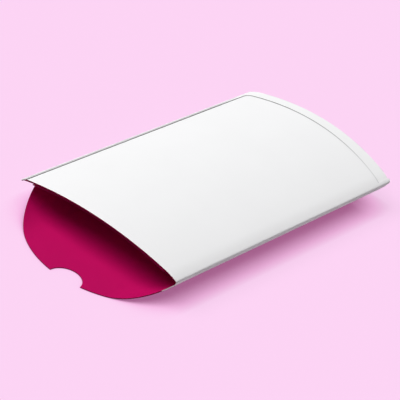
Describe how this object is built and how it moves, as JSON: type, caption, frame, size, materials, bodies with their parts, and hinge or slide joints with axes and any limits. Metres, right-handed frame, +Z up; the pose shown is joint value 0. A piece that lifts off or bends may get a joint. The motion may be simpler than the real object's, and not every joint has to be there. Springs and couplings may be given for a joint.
{
  "type": "pillow box",
  "caption": "Curved folded-card box with an open mouth, closing flaps with thumb notches and a closed far end.",
  "frame": {"origin": "middle of the flat underside of the belly", "axes": "+X along the box from the open mouth to the closed end, +Z up from the surface it rests on"},
  "size_m": [0.1848, 0.09, 0.0208],
  "materials": {
    "white_card": "satin",
    "magenta_card": "satin",
    "glue": "matte"
  },
  "bodies": {
    "sleeve": {"top_panel": "white_card", "bottom_panel": "white_card", "right_fold": "white_card", "left_fold": "white_card", "glue_flap": "white_card", "end_strip": "white_card", "seam_glue": "glue", "end_glue": "glue"},
    "mouth_lower": {"near_lower_flap": "magenta_card"},
    "mouth_upper": {"near_upper_flap": "magenta_card"},
    "end_outer": {"far_lower_flap": "white_card"},
    "end_inner": {"far_upper_flap": "white_card"}
  },
  "joints": [
    {"name": "mouth_lower_crease", "type": "hinge", "parent": "sleeve", "child": "mouth_lower", "pos_m": [-0.07855, 0, 0.00377], "axis": [0, 1, 0], "range_deg": [0, 70]},
    {"name": "mouth_upper_crease", "type": "hinge", "parent": "sleeve", "child": "mouth_upper", "pos_m": [-0.07795, 0, 0.0176], "axis": [-0.0577, 0.9983, 0], "range_deg": [0, 90]},
    {"name": "end_outer_crease", "type": "hinge", "parent": "sleeve", "child": "end_outer", "pos_m": [0.06633, 0, 0.00055], "axis": [0, 1, 0], "range_deg": [0, 47]},
    {"name": "end_inner_crease", "type": "hinge", "parent": "sleeve", "child": "end_inner", "pos_m": [0.08305, 0, 0.01969], "axis": [0, 1, 0], "range_deg": [0, 15]}
  ]
}
